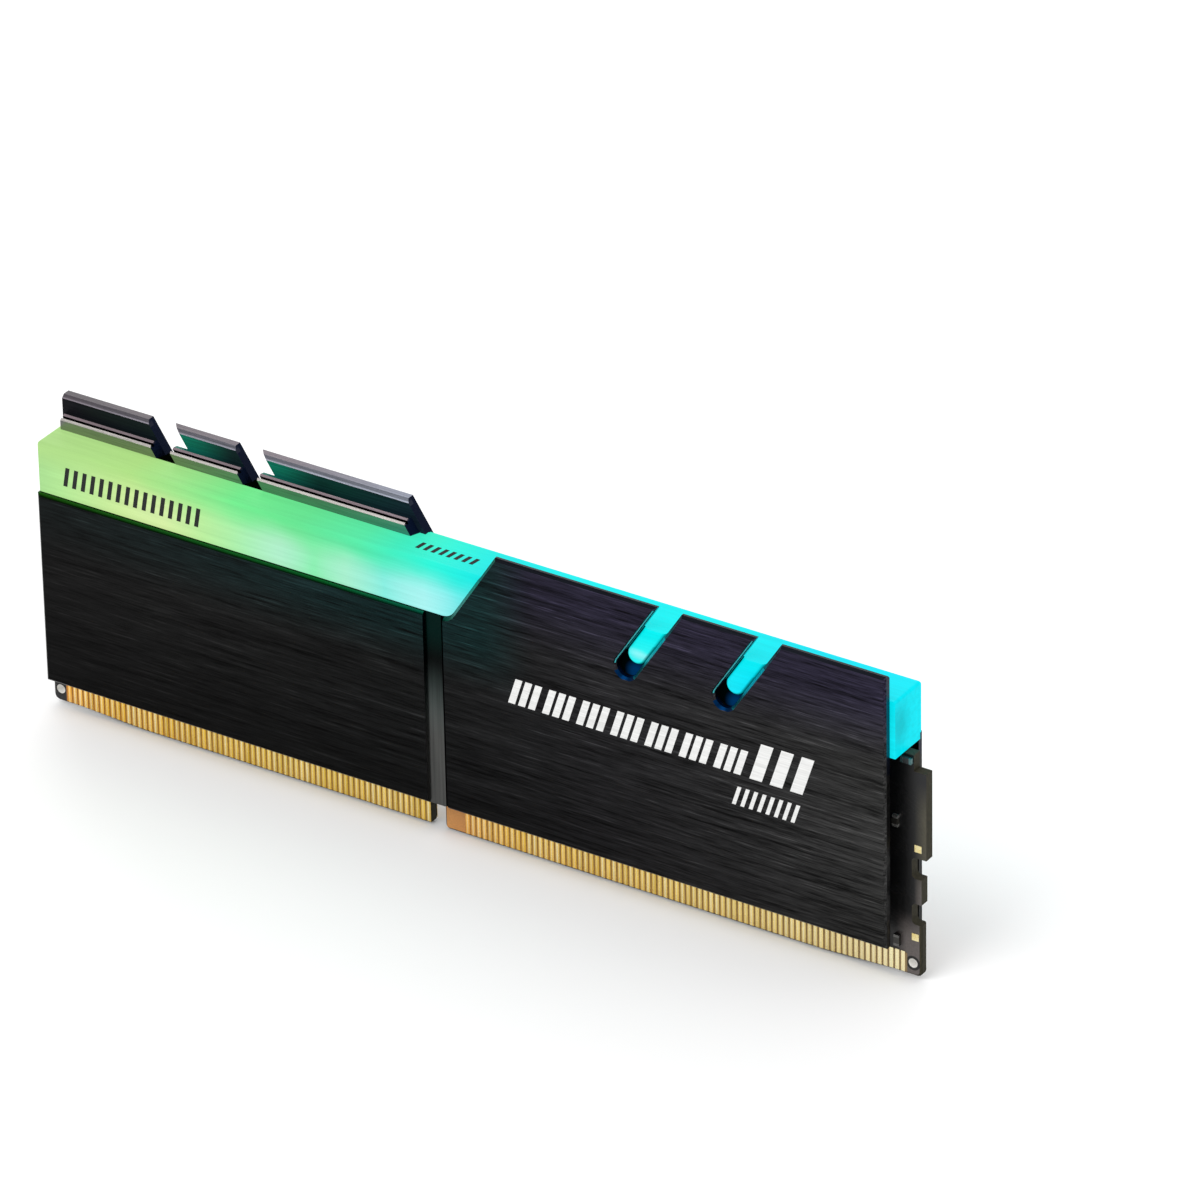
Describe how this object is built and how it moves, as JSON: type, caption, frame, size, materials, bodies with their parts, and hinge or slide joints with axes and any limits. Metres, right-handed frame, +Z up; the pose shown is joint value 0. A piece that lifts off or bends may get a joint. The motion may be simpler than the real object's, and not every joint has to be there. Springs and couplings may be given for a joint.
{
  "type": "memory module",
  "caption": "Desktop memory module with slotted black heat spreaders on both faces, a full-length light bar along the top and gold edge contacts.",
  "frame": {"origin": "middle of the board's length and thickness, on the lowest line of its contact edge", "axes": "+X along the length, toward the tall slotted section of the front spreader; -Y out of the front face; +Z up, away from the contact edge"},
  "size_m": [0.1334, 0.0081, 0.0445],
  "materials": {
    "circuit_board": "black solder mask over glass laminate, olive cut edges",
    "gold": "gold plated, bright",
    "black_anodised": "black anodised, brushed along the length",
    "diffuser": "milky translucent, lit from inside",
    "chip_body": "moulded epoxy",
    "thermal_pad": "soft gap filler",
    "foam": "adhesive foam strip",
    "lamp": "clear lens in a white body",
    "resistor": "black chip with tinned ends",
    "capacitor": "tan chip with tinned ends",
    "label": "matt silver sticker, blank"
  },
  "bodies": {
    "root": {"pcb": "circuit_board", "contacts_front_left": "gold", "contacts_front_right": "gold", "contacts_back_left": "gold", "contacts_back_right": "gold", "test_pads": "gold", "front_heat_spreader": "black_anodised", "back_heat_spreader": "black_anodised", "light_bar": "diffuser", "dram_u1": "chip_body", "dram_u2": "chip_body", "dram_u3": "chip_body", "dram_u4": "chip_body", "dram_u5": "chip_body", "dram_u6": "chip_body", "dram_u7": "chip_body", "dram_u8": "chip_body", "spd_eeprom": "chip_body", "led_controller": "chip_body", "thermal_pad_back": "thermal_pad", "foam_front": "foam", "rgb_led_1": "lamp", "rgb_led_2": "lamp", "rgb_led_3": "lamp", "rgb_led_4": "lamp", "rgb_led_5": "lamp", "rgb_led_6": "lamp", "rgb_led_7": "lamp", "rgb_led_8": "lamp", "led_resistors": "resistor", "data_resistor_arrays": "resistor", "termination_resistors": "resistor", "capacitors_back": "capacitor", "capacitors_front": "capacitor", "edge_capacitors": "capacitor", "corner_capacitors": "capacitor", "back_label": "label"}
  },
  "joints": []
}
